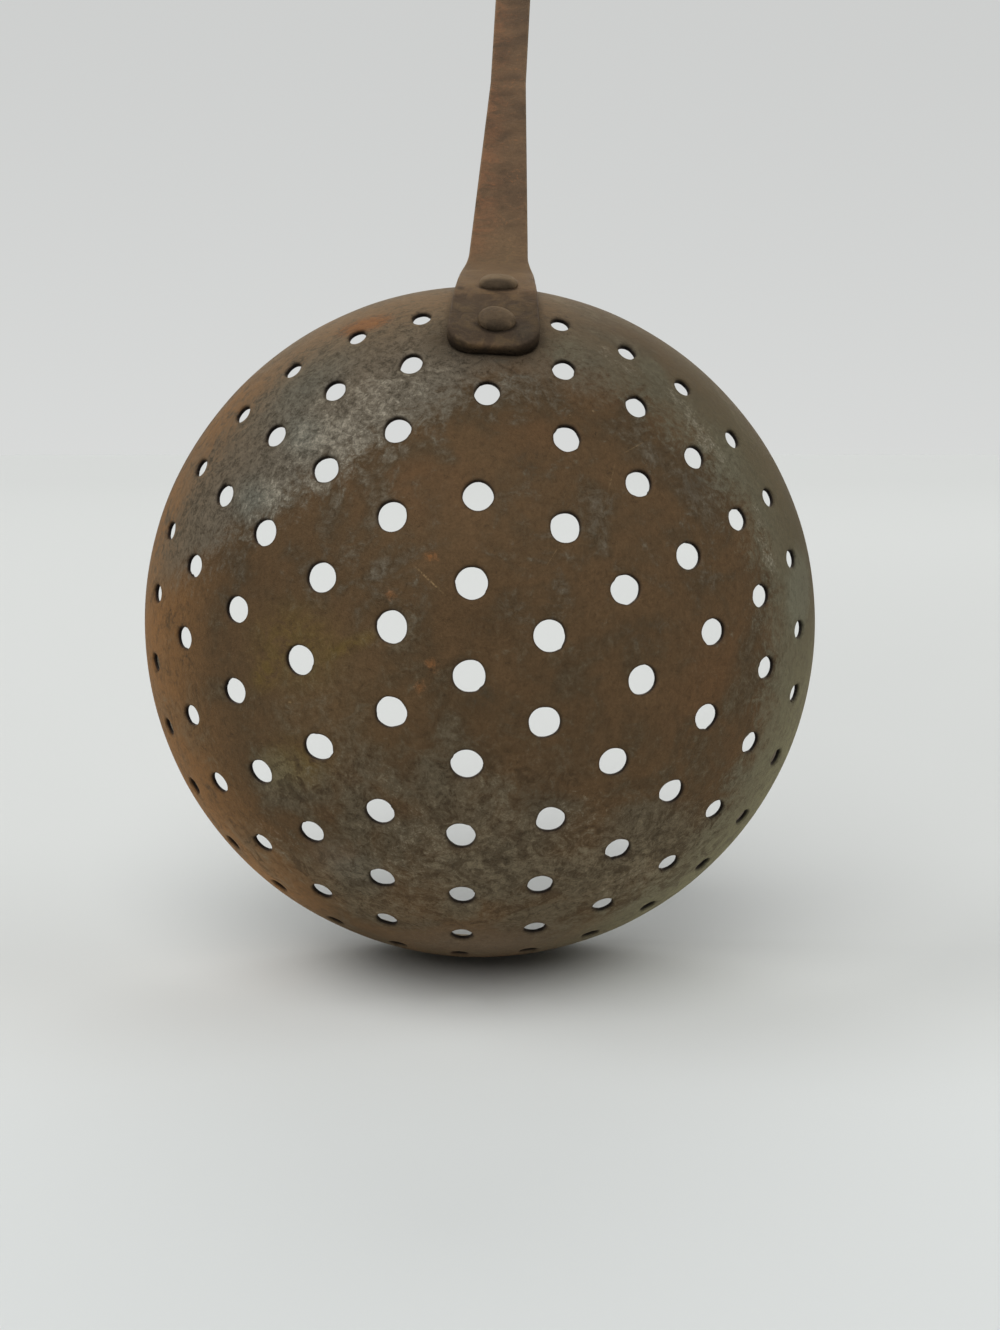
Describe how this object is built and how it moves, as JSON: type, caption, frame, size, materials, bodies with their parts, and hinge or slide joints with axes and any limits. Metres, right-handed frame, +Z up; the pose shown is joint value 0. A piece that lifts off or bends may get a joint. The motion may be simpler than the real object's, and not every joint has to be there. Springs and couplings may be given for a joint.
{
  "type": "sieve ladle",
  "caption": "Hemispherical pierced sheet-metal bowl riveted to a long tapering strap handle that bends back and ends in a round hanging eye.",
  "frame": {"origin": "in the hanging eye, on the axis of its hole and halfway through it", "axes": "+Z up with the bowl's axis level, +Y from the bowl's closed side towards its open side and the handle's end, +X to the right as seen from the closed side"},
  "size_m": [0.14, 0.3021, 0.342],
  "materials": {
    "bowl_sheet": "dull brown patina with worn grey remains of tinning",
    "handle_iron": "forged, dull rust-brown patina",
    "rivet_iron": "hammered, dull rust-brown patina"
  },
  "bodies": {
    "root": {"bowl": "bowl_sheet", "handle": "handle_iron", "lower_rivet": "rivet_iron", "upper_rivet": "rivet_iron"}
  },
  "joints": []
}
